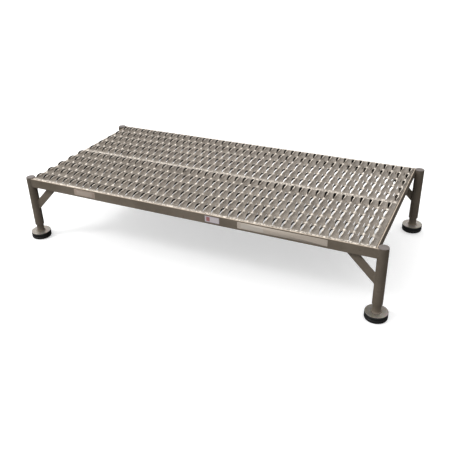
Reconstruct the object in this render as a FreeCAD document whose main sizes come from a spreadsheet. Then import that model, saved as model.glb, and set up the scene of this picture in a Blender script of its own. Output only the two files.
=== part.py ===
import FreeCAD, Part
import math
import os

import Sketcher
from FreeCAD import Placement, Rotation, Vector

# An adjustable work platform: two serrated grating planks side by side in an angle-steel frame on
# four round posts. A leg tube telescopes in each post, stands on a steel plate with a rubber pad,
# and is held at one-inch steps by a spring button on the side of the post that faces the back.
# +X runs along the platform, +Y to its back and +Z up. The origin is on the floor, in the middle.

DIMENSIONS = {
    "frame_length": 1219.2,     # outer faces of the two end rails
    "frame_depth": 601.0,       # outer faces of the front and back rails
    "rail_leg": 31.75,          # width of each leg of the angle steel
    "rail_gauge": 3.175,
    "rail_rounding": 0.8,       # rolled edge along the top of the upright leg
    "rail_base": 206.3,         # underside of the rails above the floor
    "post_span_length": 1250.95,
    "post_span_depth": 576.6,
    "post_diameter": 31.75,
    "post_wall": 2.77,
    "post_base": 51.5,
    "cap_diameter": 33.8,
    "cap_gauge": 2.2,
    "cap_rounding": 0.9,
    "plug_depth": 9.0,
    "brace_width": 25.4,
    "brace_gauge": 4.8,
    "brace_reach": 88.0,        # post axis to the middle of the brace, under the rail
    "leg_diameter": 25.4,
    "leg_wall": 2.1,
    "leg_top": 228.0,
    "plate_diameter": 69.85,
    "plate_gauge": 3.2,
    "plate_rounding": 0.7,
    "pad_height": 20.8,
    "pad_waist": 33.6,          # radius of the rubber pad at its top and bottom
    "pad_bulge": 34.9,          # radius of the rubber pad at its two moulded ribs
    "pad_sole": 31.6,           # radius of the flat underside
    "pad_chamfer": 1.6,
    "low_rib_base": 4.5,        # heights on the side of the pad, from the floor up
    "low_rib_top": 9.0,
    "groove_base": 10.4,
    "groove_top": 11.6,
    "high_rib_base": 13.0,
    "high_rib_top": 17.0,
    "screw_diameter": 8.0,
    "screw_head": 15.0,
    "screw_head_height": 4.5,
    "screw_crown": 9.8,         # width of the flat on top of the head
    "screw_recess": 12.0,       # how far the screw head sits above the floor
    "screw_end": 0.4,           # end of the screw below the top of the plate
    "thread_room": 0.1,         # between the screw and the hole in the plate
    "screw_key": 2.9,           # half the width across the flats of the key socket
    "button_diameter": 7.4,
    "button_proud": 2.6,        # button above the outside of the post
    "button_hole": 8.2,
    "button_top_hole": 191.0,
    "hole_step": 25.4,
    "clip_gauge": 0.9,
    "clip_width": 7.0,
    "clip_drop": 42.0,
    "clip_nose": 3.0,
    "clip_room": 0.8,           # between the spring and the bore of the leg
    "clip_arm": 8.0,            # straight stretch of each arm below the button's middle
    "clip_bend": 3.0,
    "stud_root": 0.3,           # how far the button is set into its arm
    "button_rounding": 2.2,
    "plank_width": 297.0,
    "plank_length": 1205.0,
    "plank_gauge": 2.0,
    "plank_gap": 0.3,
    "plank_edge": 7.0,          # flat edge along each long side
    "deck_top": 239.2,          # flat edge of the planks above the floor
    "strut_pitch": 28.9,
    "front_strut_shift": -7.0,  # how far each plank's pattern is off its middle, along X
    "back_strut_shift": 3.0,
    "row_pitch": 59.0,
    "strut_crest": 8.6,         # crest of the struts above the flat edge
    "strut_trough": 5.2,        # trough of the struts below the flat edge
    "strut_flat": 3.0,
    "strut_gauge": 2.5,         # sheet measured straight down on the slopes
    "opening_length": 46.0,
    "opening_width": 16.5,
    "trough_opening_length": 32.0,
    "trough_opening_width": 7.0,
    "label_gauge": 0.25,
    "label_height": 21.2,
    "label_base": 212.2,
    "rating_start": -426.0,
    "rating_length": 86.0,
    "sticker_start": 77.5,
    "sticker_length": 50.0,
    "safety_start": 188.0,
    "safety_length": 282.0,
}
STRUT_COLUMNS = 42
STRUT_ROWS = 5
BUTTON_HOLES = 6

document = FreeCAD.newDocument("work_platform")
sheet = document.addObject("Spreadsheet::Sheet", "Sizes")
for row, (alias, size) in enumerate(DIMENSIONS.items(), start=1):
    sheet.set("A%d" % row, alias)
    sheet.set("B%d" % row, str(size))
    sheet.setAlias("B%d" % row, alias)
document.recompute()


class Length:
    """A number together with the spreadsheet formula that gives it."""

    def __init__(self, number, formula):
        self.number = number
        self.formula = formula

    def __add__(self, other):
        other = as_length(other)
        return Length(self.number + other.number, "(%s + %s)" % (self.formula, other.formula))

    def __sub__(self, other):
        other = as_length(other)
        return Length(self.number - other.number, "(%s - %s)" % (self.formula, other.formula))

    def __mul__(self, factor):
        return Length(self.number * factor, "%s * %s" % (self.formula, factor))

    def __truediv__(self, divisor):
        return Length(self.number / divisor, "%s / %s" % (self.formula, divisor))

    def __neg__(self):
        return Length(-self.number, "(0 - %s)" % self.formula)


def as_length(value):
    return value if isinstance(value, Length) else Length(float(value), "%s" % float(value))


def cell(alias):
    return Length(float(sheet.get(alias)), "Sizes.%s" % alias)


ZERO = as_length(0)


def bind(item, path, length):
    """Ties one property of a document object to the spreadsheet."""
    item.setExpression(path, as_length(length).formula)


def new_body(label):
    body = document.addObject("PartDesign::Body", label)
    body.Label = label
    return body


def place(item, x=ZERO, y=ZERO, z=ZERO, turn=0):
    """Puts a sub-part in the platform's frame, turned about the vertical by whole degrees."""
    item.Placement = Placement(Vector(0, 0, 0), Rotation(Vector(0, 0, 1), turn))
    bind(item, "Placement.Base.x", x)
    bind(item, "Placement.Base.y", y)
    bind(item, "Placement.Base.z", z)


def new_sketch(body, role, name, offset=ZERO):
    """A sketch on one of the body's own origin planes, moved along the plane's normal."""
    sketch = body.newObject("Sketcher::SketchObject", name)
    plane = [item for item in body.Origin.OriginFeatures if item.Role == role][0]
    sketch.AttachmentSupport = [(plane, "")]
    sketch.MapMode = "FlatFace"
    bind(sketch, "AttachmentOffset.Base.z", offset)
    return sketch


def fix_point(sketch, geometry, point, across, up):
    """Holds one point of a sketch at its distances from the sketch's origin."""
    for kind, length in (("DistanceX", across), ("DistanceY", up)):
        length = as_length(length)
        index = sketch.addConstraint(
            Sketcher.Constraint(kind, -1, 1, geometry, point, length.number))
        bind(sketch, "Constraints[%d]" % index, length)


def draw_outline(sketch, corners):
    """A closed outline of straight edges through the given corners."""
    corners = [(as_length(across), as_length(up)) for across, up in corners]
    points = [Vector(across.number, up.number, 0) for across, up in corners]
    first = sketch.GeometryCount
    for start, end in zip(points, points[1:] + points[:1]):
        sketch.addGeometry(Part.LineSegment(start, end), False)
    for step in range(len(corners)):
        following = first + (step + 1) % len(corners)
        sketch.addConstraint(Sketcher.Constraint("Coincident", first + step, 2, following, 1))
        fix_point(sketch, first + step, 1, *corners[step])


def draw_circle(sketch, across, up, diameter):
    across, up, diameter = as_length(across), as_length(up), as_length(diameter)
    centre = Vector(across.number, up.number, 0)
    circle = Part.Circle(centre, Vector(0, 0, 1), diameter.number / 2)
    index = sketch.addGeometry(circle, False)
    fix_point(sketch, index, 3, across, up)
    size = sketch.addConstraint(Sketcher.Constraint("Diameter", index, diameter.number))
    bind(sketch, "Constraints[%d]" % size, diameter)


def pad(body, sketch, length, name, both_ways=False, reverse=False):
    feature = body.newObject("PartDesign::Pad", name)
    feature.Profile = sketch
    bind(feature, "Length", length)
    feature.Midplane = both_ways
    feature.Reversed = reverse
    return feature


def pocket(body, sketch, name, length=None, reverse=False):
    """Cuts a sketch out of a body, by a length or right through both ways."""
    feature = body.newObject("PartDesign::Pocket", name)
    feature.Profile = sketch
    feature.Reversed = reverse
    if length is None:
        feature.Type = "ThroughAll"
        feature.Midplane = True
    else:
        bind(feature, "Length", length)
    return feature


def turn_round(body, corners, name):
    """A solid of revolution about the vertical from an outline of radius and height."""
    sketch = new_sketch(body, "XZ_Plane", name + "_outline")
    draw_outline(sketch, corners)
    feature = body.newObject("PartDesign::Revolution", name)
    feature.Profile = sketch
    feature.ReferenceAxis = (sketch, ["V_Axis"])
    feature.Angle = 360.0
    return feature


def round_edges(body, feature, radius, chosen, name):
    """Rounds the edges of a finished feature for which the test holds."""
    document.recompute()
    names = ["Edge%d" % number for number, edge in enumerate(feature.Shape.Edges, start=1)
             if chosen(edge)]
    if not names:
        raise RuntimeError("no edges to round on " + body.Label)
    rounding = body.newObject("PartDesign::Fillet", name)
    rounding.Base = (feature, names)
    bind(rounding, "Radius", radius)
    return rounding


rail_top = cell("rail_base") + cell("rail_leg")
post_top = rail_top
post_x = cell("post_span_length") / 2
post_y = cell("post_span_depth") / 2
face_x = cell("frame_length") / 2
face_y = cell("frame_depth") / 2
foot_height = cell("pad_height") + cell("plate_gauge")
leg_bore = cell("leg_diameter") - cell("leg_wall") * 2
post_bore = cell("post_diameter") - cell("post_wall") * 2

CORNERS = {
    "front_left": (-post_x, -post_y),
    "front_right": (post_x, -post_y),
    "back_left": (-post_x, post_y),
    "back_right": (post_x, post_y),
}


# Frame rails: angle steel with one leg upright on the outside and one leg flat, pointing inwards.

def lies_along(edge, axis, height):
    """True for a straight edge along an axis at one height."""
    low, high = edge.BoundBox.ZMin, edge.BoundBox.ZMax
    length = edge.BoundBox.XLength if axis == "x" else edge.BoundBox.YLength
    return low > height - 0.01 and high < height + 0.01 and length > 100


def long_rail(label, turn):
    """A front or back rail: its upright leg runs on to the posts and is cut to their round."""
    body = new_body(label)
    upright = new_sketch(body, "YZ_Plane", label + "_upright")
    inner = -face_y + cell("rail_gauge")
    draw_outline(upright, [(-face_y, cell("rail_base")), (inner, cell("rail_base")),
                           (inner, rail_top), (-face_y, rail_top)])
    pad(body, upright, cell("post_span_length"), label + "_upright_leg", both_ways=True)
    shelf = new_sketch(body, "YZ_Plane", label + "_shelf")
    toe = -face_y + cell("rail_leg")
    shelf_top = cell("rail_base") + cell("rail_gauge")
    draw_outline(shelf, [(inner, cell("rail_base")), (toe, cell("rail_base")),
                         (toe, shelf_top), (inner, shelf_top)])
    shelf_length = cell("frame_length") - cell("rail_leg") * 2
    pad(body, shelf, shelf_length, label + "_shelf_leg", both_ways=True)
    rounds = new_sketch(body, "XY_Plane", label + "_post_rounds")
    for side in (-1, 1):
        draw_circle(rounds, post_x * side, -post_y, cell("post_diameter"))
    pocket(body, rounds, label + "_cope")
    ends = new_sketch(body, "XY_Plane", label + "_beyond_posts")
    for side in (-1, 1):
        near = (post_x - cell("post_diameter") / 5) * side
        far = (post_x + cell("post_diameter")) * side
        low, high = -face_y - 1, -post_y
        draw_outline(ends, [(near, low), (far, low), (far, high), (near, high)])
    trim = pocket(body, ends, label + "_trim")
    round_edges(body, trim, cell("rail_rounding"),
                lambda edge: lies_along(edge, "x", rail_top.number), label + "_rolled_edge")
    place(body, turn=turn)
    return body


def end_rail(label, turn):
    """An end rail, which fits between the upright legs of the long rails."""
    body = new_body(label)
    section = new_sketch(body, "XZ_Plane", label + "_section")
    inner = -face_x + cell("rail_gauge")
    toe = -face_x + cell("rail_leg")
    shelf_top = cell("rail_base") + cell("rail_gauge")
    draw_outline(section, [(-face_x, cell("rail_base")), (toe, cell("rail_base")),
                           (toe, shelf_top), (inner, shelf_top),
                           (inner, rail_top), (-face_x, rail_top)])
    length = cell("frame_depth") - cell("rail_gauge") * 2
    angle = pad(body, section, length, label + "_angle", both_ways=True)
    round_edges(body, angle, cell("rail_rounding"),
                lambda edge: lies_along(edge, "y", rail_top.number), label + "_rolled_edge")
    place(body, turn=turn)
    return body


# Posts, their caps and their braces, each drawn about the post's own axis.

def post(label, x, y):
    """A tube with a column of button holes in the wall that faces the back."""
    body = new_body(label)
    ring = new_sketch(body, "XY_Plane", label + "_ring", cell("post_base"))
    draw_circle(ring, 0, 0, cell("post_diameter"))
    draw_circle(ring, 0, 0, post_bore)
    pad(body, ring, post_top - cell("post_base"), label + "_tube")
    holes = new_sketch(body, "XZ_Plane", label + "_holes")
    for step in range(BUTTON_HOLES):
        height = cell("button_top_hole") - cell("hole_step") * step
        draw_circle(holes, 0, height, cell("button_hole"))
    pocket(body, holes, label + "_button_holes", cell("post_diameter"))
    place(body, x, y)
    return body


def post_cap(label, x, y):
    """A round steel cap with a turned-down rim and a plug that fits the bore of the post."""
    body = new_body(label)
    top = post_top + cell("cap_gauge")
    edge = cell("cap_diameter") / 2
    plug = post_bore / 2
    foot = post_top - cell("plug_depth")
    hollow = plug - cell("post_wall")
    turned = turn_round(body, [
        (0, post_top), (hollow, post_top), (hollow, foot), (plug, foot),
        (plug, post_top), (edge, post_top), (edge, top), (0, top)],
        label + "_turned")
    round_edges(body, turned, cell("cap_rounding"),
                lambda line: abs(line.BoundBox.ZMin - top.number) < 0.01
                and line.BoundBox.XLength > edge.number, label + "_rim")
    place(body, x, y)
    return body


def brace(label, x, y, turn):
    """A flat bar at 45 degrees from the side of the post to the underside of the rail."""
    body = new_body(label)
    half = cell("brace_width") * math.sqrt(0.5)
    under = cell("rail_base")
    reach = cell("brace_reach")
    axis = under - reach
    bar = new_sketch(body, "XZ_Plane", label + "_bar")
    draw_outline(bar, [(0, axis + half), (0, axis - half), (reach + half, under),
                       (reach - half, under)])
    pad(body, bar, cell("brace_gauge"), label + "_flat", both_ways=True)
    round_cut = new_sketch(body, "XY_Plane", label + "_round")
    draw_circle(round_cut, 0, 0, cell("post_diameter"))
    pocket(body, round_cut, label + "_cope")
    place(body, x, y, turn=turn)
    return body


# Legs: the tube, its foot plate, rubber pad and screw, and the spring clip with the button.

def leg_tube(label, x, y):
    body = new_body(label)
    ring = new_sketch(body, "XY_Plane", label + "_ring", foot_height)
    draw_circle(ring, 0, 0, cell("leg_diameter"))
    draw_circle(ring, 0, 0, leg_bore)
    pad(body, ring, cell("leg_top") - foot_height, label + "_tube")
    hole = new_sketch(body, "XZ_Plane", label + "_hole")
    draw_circle(hole, 0, cell("button_top_hole"), cell("button_hole"))
    pocket(body, hole, label + "_button_hole", cell("leg_diameter"))
    place(body, x, y)
    return body


def foot_plate(label, x, y):
    """A round plate with a tapped hole in the middle for the pad's screw."""
    body = new_body(label)
    disc = new_sketch(body, "XY_Plane", label + "_disc", cell("pad_height"))
    draw_circle(disc, 0, 0, cell("plate_diameter"))
    draw_circle(disc, 0, 0, cell("screw_diameter") + cell("thread_room") * 2)
    plate = pad(body, disc, cell("plate_gauge"), label + "_plate")
    round_edges(body, plate, cell("plate_rounding"),
                lambda line: line.BoundBox.XLength > cell("screw_head").number
                and line.BoundBox.ZLength < 0.01, label + "_edges")
    place(body, x, y)
    return body


def rubber_pad(label, x, y):
    """A moulded disc with two ribs round its side and a recess for the screw head."""
    body = new_body(label)
    top = cell("pad_height")
    waist = cell("pad_waist")
    bulge = cell("pad_bulge")
    bore = cell("screw_diameter") / 2
    recess = cell("screw_head") / 2 + 1
    ceiling = cell("screw_recess")
    turn_round(body, [
        (bore, ceiling), (recess, ceiling), (recess, 0), (cell("pad_sole"), 0),
        (waist, cell("pad_chamfer")), (bulge, cell("low_rib_base")), (bulge, cell("low_rib_top")),
        (waist, cell("groove_base")), (waist, cell("groove_top")), (bulge, cell("high_rib_base")),
        (bulge, cell("high_rib_top")), (waist, top), (bore, top)], label + "_moulding")
    place(body, x, y)
    return body


def pad_screw(label, x, y):
    """A button-headed screw, driven from below, with a hexagon key socket."""
    body = new_body(label)
    seat = cell("screw_recess")
    head = cell("screw_head") / 2
    shank = cell("screw_diameter") / 2
    crown = seat - cell("screw_head_height")
    rim = seat - cell("screw_head_height") / 4
    end = foot_height - cell("screw_end")
    turn_round(body, [
        (0, crown), (cell("screw_crown") / 2, crown), (head, rim), (head, seat), (shank, seat),
        (shank, end), (0, end)], label + "_turned")
    socket = new_sketch(body, "XY_Plane", label + "_socket", crown)
    flat = cell("screw_key")
    point = flat * (2 / math.sqrt(3))
    draw_outline(socket, [(-point, 0), (-point / 2, -flat), (point / 2, -flat),
                          (point, 0), (point / 2, flat), (-point / 2, flat)])
    pocket(body, socket, label + "_key", cell("screw_head_height") * 0.6, reverse=True)
    place(body, x, y)
    return body


def button_clip(label, x, y):
    """A bent spring strip in the leg tube, with the button on its back arm."""
    body = new_body(label)
    gauge = cell("clip_gauge")
    wall = leg_bore / 2 - cell("clip_room")
    height = cell("button_top_hole")
    foot = height - cell("clip_drop")
    rise = height + cell("button_diameter")
    nose = cell("clip_nose") / 2
    knee = height - cell("clip_arm")
    bend = foot + cell("clip_bend")
    strip = new_sketch(body, "YZ_Plane", label + "_strip")
    draw_outline(strip, [
        (wall, rise), (wall - gauge, rise), (wall - gauge, knee), (nose - gauge, bend),
        (-nose + gauge, bend), (-wall + gauge, knee), (-wall + gauge, rise),
        (-wall, rise), (-wall, knee), (-nose, foot), (nose, foot), (wall, knee)])
    pad(body, strip, cell("clip_width"), label + "_spring", both_ways=True)
    root = wall - cell("stud_root")
    stud = new_sketch(body, "XZ_Plane", label + "_stud", -root)
    draw_circle(stud, 0, height, cell("button_diameter"))
    tip = cell("post_diameter") / 2 + cell("button_proud")
    button = pad(body, stud, tip - root, label + "_button", reverse=True)
    round_edges(body, button, cell("button_rounding"),
                lambda line: abs(line.BoundBox.YMax - tip.number) < 0.01
                and line.BoundBox.YLength < 0.01, label + "_dome")
    place(body, x, y)
    return body


# Grating planks: a channel with flat edges, and between them struts that rise to crests and dip
# to troughs, with an opening on every crest and, half a row further on, in every trough.

def opening_prism(x, y, length, width, low, high):
    """An almond-shaped opening: two arcs that meet in points at its ends."""
    ends = Vector(x, y - length / 2, low), Vector(x, y + length / 2, low)
    right = Part.Arc(ends[0], Vector(x + width / 2, y, low), ends[1]).toShape()
    left = Part.Arc(ends[1], Vector(x - width / 2, y, low), ends[0]).toShape()
    return Part.Face(Part.Wire([right, left])).extrude(Vector(0, 0, high - low))


def crest_places(size, shift):
    """Where the crest lines cross the length of a plank whose pattern is shifted along it."""
    return [shift + (column - (STRUT_COLUMNS - 1) / 2) * size["strut_pitch"]
            for column in range(STRUT_COLUMNS)]


def strut_sheet(size, reach, shift):
    """The folded sheet between the flat edges, before its openings are cut."""
    gauge = size["strut_gauge"]
    crest = size["strut_crest"]
    trough = -size["strut_trough"]
    flat = size["strut_flat"] / 2
    end = size["plank_length"] / 2
    to_valley = size["strut_pitch"] / 2
    slope = (crest - trough - gauge) / (to_valley - 2 * flat)
    line = []
    for middle in crest_places(size, shift):
        line += [(middle - flat, crest), (middle + flat, crest)]
        if middle + to_valley + flat < end:
            line += [(middle + to_valley - flat, trough + gauge),
                     (middle + to_valley + flat, trough + gauge)]
    start = max(crest - slope * (line[0][0] + end), trough + gauge)
    if line[-1][1] == crest:
        finish = max(crest - slope * (end - line[-1][0]), trough + gauge)
    else:
        finish = trough + gauge
    line = [(-end, start)] + line + [(end, finish)]
    upper = [Vector(x, -reach, z) for x, z in line]
    lower = [Vector(x, -reach, z - gauge) for x, z in reversed(line)]
    wire = Part.makePolygon(upper + lower + upper[:1])
    return Part.Face(wire).extrude(Vector(0, 2 * reach, 0))


def plank_shape(size, shift):
    """One plank about its own middle, with its flat edges at height zero."""
    pitch, row = size["strut_pitch"], size["row_pitch"]
    gauge = size["plank_gauge"]
    half_width = size["plank_width"] / 2
    reach = half_width - size["plank_edge"]
    length = size["plank_length"]
    depth = size["deck_top"] - size["rail_base"] - size["rail_gauge"]
    low, high = -2 * size["strut_trough"], 2 * size["strut_crest"]
    openings = []
    for middle in crest_places(size, shift):
        valley = middle + pitch / 2
        for place_in_row in range(STRUT_ROWS):
            y = (place_in_row - (STRUT_ROWS - 1) / 2) * row
            openings.append(opening_prism(middle, y, size["opening_length"],
                                          size["opening_width"], low, high))
        for place_in_row in range(STRUT_ROWS - 1):
            y = (place_in_row - (STRUT_ROWS - 2) / 2) * row
            if valley + size["trough_opening_width"] / 2 < length / 2:
                openings.append(opening_prism(valley, y, size["trough_opening_length"],
                                              size["trough_opening_width"], low, high))
    struts = strut_sheet(size, reach, shift).cut(Part.makeCompound(openings))
    pieces = [struts]
    for side in (-1, 1):
        inner = reach - gauge
        edge = Part.makeBox(length, half_width - inner, gauge,
                            Vector(-length / 2, inner if side > 0 else -half_width, -gauge))
        flange = Part.makeBox(length, gauge, depth,
                              Vector(-length / 2, half_width - gauge if side > 0
                                     else -half_width, -depth))
        pieces += [edge, flange]
    return pieces[0].fuse(pieces[1:]).removeSplitter()


def plank(label, shape, side):
    """One of the two planks; side is -1 for the front and 1 for the back."""
    feature = document.addObject("Part::Feature", label)
    feature.Label = label
    feature.Shape = shape
    offset = (cell("plank_width") + cell("plank_gap")) / 2
    feature.Placement = Placement(Vector(0, side * offset.number, cell("deck_top").number),
                                  Rotation())
    return feature


def rail_label(label, start, length):
    """A thin blank label on the outside of the front rail."""
    strip = document.addObject("Part::Box", label)
    strip.Label = label
    bind(strip, "Length", length)
    bind(strip, "Width", cell("label_gauge"))
    bind(strip, "Height", cell("label_height"))
    bind(strip, "Placement.Base.x", start)
    bind(strip, "Placement.Base.y", -face_y - cell("label_gauge"))
    bind(strip, "Placement.Base.z", cell("label_base"))
    return strip


subparts = [
    long_rail("front_rail", 0),
    long_rail("back_rail", 180),
    end_rail("left_end_rail", 0),
    end_rail("right_end_rail", 180),
]
deck_sizes = {alias: cell(alias).number for alias in DIMENSIONS}
for label, side, shift in (("front_deck_plank", -1, deck_sizes["front_strut_shift"]),
                           ("back_deck_plank", 1, deck_sizes["back_strut_shift"])):
    subparts.append(plank(label, plank_shape(deck_sizes, shift), side))
for corner, (corner_x, corner_y) in CORNERS.items():
    inward = 0 if corner.endswith("left") else 180
    subparts.append(post(corner + "_post", corner_x, corner_y))
    subparts.append(post_cap(corner + "_post_cap", corner_x, corner_y))
    subparts.append(brace(corner + "_brace", corner_x, corner_y, inward))
    subparts.append(leg_tube(corner + "_leg_tube", corner_x, corner_y))
    subparts.append(foot_plate(corner + "_foot_plate", corner_x, corner_y))
    subparts.append(rubber_pad(corner + "_rubber_pad", corner_x, corner_y))
    subparts.append(pad_screw(corner + "_pad_screw", corner_x, corner_y))
    subparts.append(button_clip(corner + "_button_clip", corner_x, corner_y))
subparts.append(rail_label("rating_label", cell("rating_start"), cell("rating_length")))
subparts.append(rail_label("inspection_sticker", cell("sticker_start"), cell("sticker_length")))
subparts.append(rail_label("safety_label", cell("safety_start"), cell("safety_length")))

document.recompute()
for item in document.Objects:
    if "Invalid" in item.State or "Error" in item.State:
        raise RuntimeError("failed object: %s %s" % (item.Name, item.State))
for item in subparts:
    if item.Shape.isNull() or not item.Shape.isValid():
        raise RuntimeError("bad shape: " + item.Label)
    if len(item.Shape.Solids) != 1:
        raise RuntimeError("%s has %d solids" % (item.Label, len(item.Shape.Solids)))

os.makedirs("parts", exist_ok=True)
for item in subparts:
    item.Shape.exportStep("parts/%s.step" % item.Label)
    box = item.Shape.BoundBox
    print("%-26s %9.1f mm3  x %.1f %.1f  y %.1f %.1f  z %.1f %.1f"
          % (item.Label, item.Shape.Volume, box.XMin, box.XMax, box.YMin, box.YMax,
             box.ZMin, box.ZMax))
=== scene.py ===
"""An adjustable work platform with a serrated grating deck, dressed for a plain studio picture.

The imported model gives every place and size. Rails, posts, braces, leg tubes and screws are shown as
they are, in better finishes. The grating planks, post caps, foot plates, rubber pads, spring buttons
and labels are made here as worked-out surfaces, and weld beads are laid along the joints of the steel.
All lengths are in metres.
"""

import logging
import math
from dataclasses import dataclass
from enum import Enum
from typing import Callable, Sequence

import bmesh
import bpy
import numpy as np
from mathutils import Euler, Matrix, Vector


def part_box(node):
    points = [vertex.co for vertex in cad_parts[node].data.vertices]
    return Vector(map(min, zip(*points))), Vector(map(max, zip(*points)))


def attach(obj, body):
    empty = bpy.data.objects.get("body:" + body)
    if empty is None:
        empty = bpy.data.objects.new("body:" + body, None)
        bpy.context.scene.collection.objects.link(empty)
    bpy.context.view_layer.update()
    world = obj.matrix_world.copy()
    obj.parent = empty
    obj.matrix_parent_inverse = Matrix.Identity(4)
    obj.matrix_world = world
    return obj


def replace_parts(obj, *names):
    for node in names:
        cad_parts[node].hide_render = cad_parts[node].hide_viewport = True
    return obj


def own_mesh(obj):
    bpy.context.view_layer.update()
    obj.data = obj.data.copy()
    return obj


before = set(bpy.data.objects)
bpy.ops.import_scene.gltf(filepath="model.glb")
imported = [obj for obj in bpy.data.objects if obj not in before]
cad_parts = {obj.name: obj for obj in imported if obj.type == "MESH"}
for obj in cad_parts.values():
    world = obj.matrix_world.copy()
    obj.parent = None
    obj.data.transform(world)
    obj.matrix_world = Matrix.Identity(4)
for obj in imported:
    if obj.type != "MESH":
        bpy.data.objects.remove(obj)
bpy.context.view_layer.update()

Array = np.ndarray
Socket = bpy.types.NodeSocket
Material = bpy.types.Material
Piece = bpy.types.Object
Triple = tuple[float, float, float]
Colour = Triple
Outline = Sequence[tuple[float, float]]

MM = 0.001
SHARP_TURN = math.radians(40.0)
SHEET_SHARP_TURN = math.radians(38.0)
WEAR_AND_LIGHT_ATTRIBUTE = "wear_and_light"
ROOT_BODY = "platform_frame"

log = logging.getLogger("work_platform")


class Corner(Enum):
    """The four corners of the platform, by the start of their nodes' names."""

    FRONT_LEFT = "front_left"
    FRONT_RIGHT = "front_right"
    BACK_LEFT = "back_left"
    BACK_RIGHT = "back_right"

    def node(self, part: str) -> str:
        """The name of one of this corner's nodes or bodies."""
        return f"{self.value}_{part}"


# Meshes


def grid_faces(rows: int, columns: int, wrap_rows: bool = False, wrap_columns: bool = False) -> Array:
    """Quads between the neighbouring points of a grid.

    Args:
        rows: How many rows the grid has.
        columns: How many points each row has.
        wrap_rows: Join the last row to the first.
        wrap_columns: Join the last point of each row to its first.

    Returns:
        Four point numbers for each quad.
    """
    row = np.arange(rows if wrap_rows else rows - 1)
    column = np.arange(columns if wrap_columns else columns - 1)
    row, column = np.meshgrid(row, column, indexing="ij")
    next_row, next_column = (row + 1) % rows, (column + 1) % columns
    corners = [row * columns + column, row * columns + next_column,
               next_row * columns + next_column, next_row * columns + column]
    return np.stack(corners, axis=-1).reshape(-1, 4)


def new_piece(name: str, points: Array, faces: Sequence[Sequence[int]], finish: Material,
              closed: bool = True, wear_and_light: Array | None = None) -> Piece:
    """A mesh object at the origin, with coincident points joined.

    Args:
        name: The object's name.
        points: Three coordinates for each point.
        faces: Point numbers of each face.
        finish: The material of every face.
        closed: The shape is a closed solid, so its faces are turned outwards.
        wear_and_light: A share for each point, from 0 to 1, kept as an attribute of the mesh: on the deck it
            is rubbing mixed with painted light and shade, on the foot plates nearness to the weld.

    Returns:
        The new object, in the scene.
    """
    mesh = bpy.data.meshes.new(name)
    mesh.from_pydata(np.asarray(points, float).reshape(-1, 3).tolist(), [],
                     [[int(corner) for corner in face] for face in faces])
    mesh.materials.append(finish)
    if wear_and_light is not None:
        worn_and_lit = mesh.attributes.new(WEAR_AND_LIGHT_ATTRIBUTE, "FLOAT", "POINT")
        worn_and_lit.data.foreach_set("value", np.asarray(wear_and_light, np.float32).ravel())
    shape = bmesh.new()
    shape.from_mesh(mesh)
    bmesh.ops.remove_doubles(shape, verts=shape.verts, dist=2e-6)
    if closed:
        bmesh.ops.recalc_face_normals(shape, faces=shape.faces)
    shape.to_mesh(mesh)
    shape.free()
    mesh.shade_smooth()
    mesh.set_sharp_from_angle(angle=SHARP_TURN)
    piece = bpy.data.objects.new(name, mesh)
    bpy.context.scene.collection.objects.link(piece)
    return piece


def turned(outline: Outline, sides: int, centre: Vector,
           flutes: Callable[[Array, Array], Array] | None = None) -> tuple[Array, Array]:
    """A round solid: each point of the outline goes round the upright axis.

    The point at angle a on the ring of radius r and height z is (r cos a, r sin a, z), and flutes may
    take something off r by height and angle.

    Args:
        outline: Radius and height of each ring, first and last on the axis.
        sides: How many points each ring has.
        centre: A point on the axis, at height zero of the outline.
        flutes: Gives the depth taken off the radius, from the heights and angles of all points.

    Returns:
        The points and the faces.
    """
    radius, height = np.array(outline, float).T
    angle = np.arange(sides) / sides * 2 * math.pi
    reach = np.repeat(radius[:, None], sides, axis=1)
    level = np.repeat(height[:, None], sides, axis=1)
    if flutes is not None:
        reach = np.maximum(reach - flutes(level, angle[None, :]) * (reach > 0), 0)
    points = np.stack([centre.x + reach * np.cos(angle), centre.y + reach * np.sin(angle),
                       centre.z + level], axis=-1)
    return points.reshape(-1, 3), grid_faces(len(radius), sides, wrap_columns=True)


def rounded(corners: Outline, radius: float, steps: int = 4) -> list[tuple[float, float]]:
    """An open outline with its inner corners rounded.

    Each corner becomes a quadratic curve from a point one radius before it to one radius after it,
    and is cut shorter where the runs beside it are short.

    Args:
        corners: The outline's points.
        radius: How far from each corner the rounding starts.
        steps: How many spans each rounding has.

    Returns:
        The rounded outline.
    """
    points = [np.array(corner, float) for corner in corners]
    smooth = [points[0]]
    for before, corner, after in zip(points, points[1:], points[2:]):
        runs = [before - corner, after - corner]
        reach = min([radius] + [float(np.linalg.norm(run)) * 0.45 for run in runs])
        start, end = (corner + run / np.linalg.norm(run) * reach for run in runs)
        share = np.linspace(0, 1, steps + 1)[:, None]
        smooth += list((1 - share) ** 2 * start + 2 * share * (1 - share) * corner + share ** 2 * end)
    smooth.append(points[-1])
    return [(float(first), float(second)) for first, second in smooth]


def swept(path: Array, across: Array, section: Array, swell: Array | None = None,
          loop: bool = False) -> tuple[Array, list[list[int]]]:
    """A closed section carried along a path.

    The point of the section at (u, v) goes to path + swell (u across + v up), where across is the
    given direction and up is square to it and to the path.

    Args:
        path: Points along the path.
        across: One direction, or one for each point of the path, square to the path.
        section: Points (u, v) round the section.
        swell: The section's size at each point.
        loop: The path closes on itself.

    Returns:
        The points and the faces, with flat ends where the path is open.
    """
    if loop:
        along = np.roll(path, -1, axis=0) - np.roll(path, 1, axis=0)
    else:
        along = np.gradient(path, axis=0)
    along = along / np.linalg.norm(along, axis=1, keepdims=True)
    side = np.broadcast_to(across, path.shape)
    up = np.cross(along, side)
    size = np.ones(len(path)) if swell is None else swell
    offset = section[None, :, :1] * side[:, None] + section[None, :, 1:] * up[:, None]
    points = path[:, None] + offset * size[:, None, None]
    count = len(section)
    faces = grid_faces(len(path), count, wrap_rows=loop, wrap_columns=True).tolist()
    if not loop:
        last = (len(path) - 1) * count
        faces += [list(range(count)), list(range(last, last + count))]
    return points.reshape(-1, 3), faces


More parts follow.
